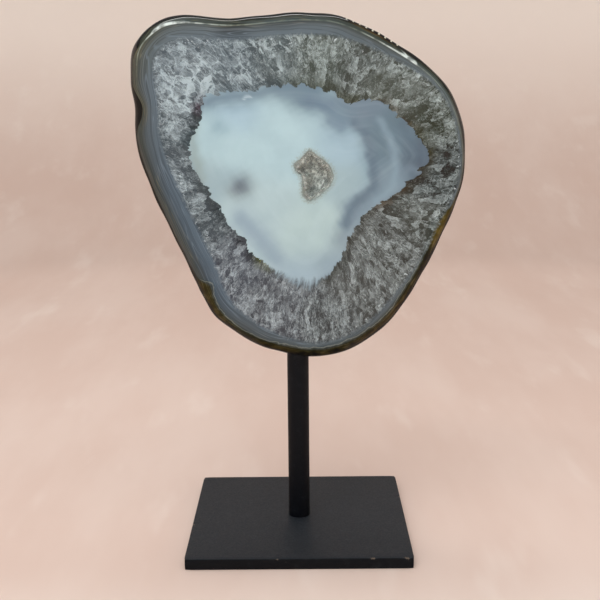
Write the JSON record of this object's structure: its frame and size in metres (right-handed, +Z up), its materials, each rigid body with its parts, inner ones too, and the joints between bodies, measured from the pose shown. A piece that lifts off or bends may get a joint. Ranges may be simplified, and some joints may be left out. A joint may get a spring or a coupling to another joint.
{
  "type": "agate geode slice on a stand",
  "caption": "Polished slice of banded agate with a quartz ring and a small crystal-lined hollow, standing upright on a rod and a square plate.",
  "frame": {"origin": "centre of the plate's underside, where the stand rests", "axes": "+Z up, -Y is where the polished face with the hollow looks, +X to the right as seen from that side"},
  "size_m": [0.1478, 0.1, 0.2372],
  "materials": {
    "agate": "polished, banded grey-blue with a milky centre and a dark brown rind",
    "quartz_druse": "small glittering quartz points, left as grown",
    "rod_paint": "satin black powder coat",
    "plate_paint": "matte black powder coat, worn bright at a few edge chips"
  },
  "bodies": {
    "root": {"agate_slice": "agate", "druse_crust": "quartz_druse", "post": "rod_paint", "base_plate": "plate_paint"}
  },
  "joints": []
}
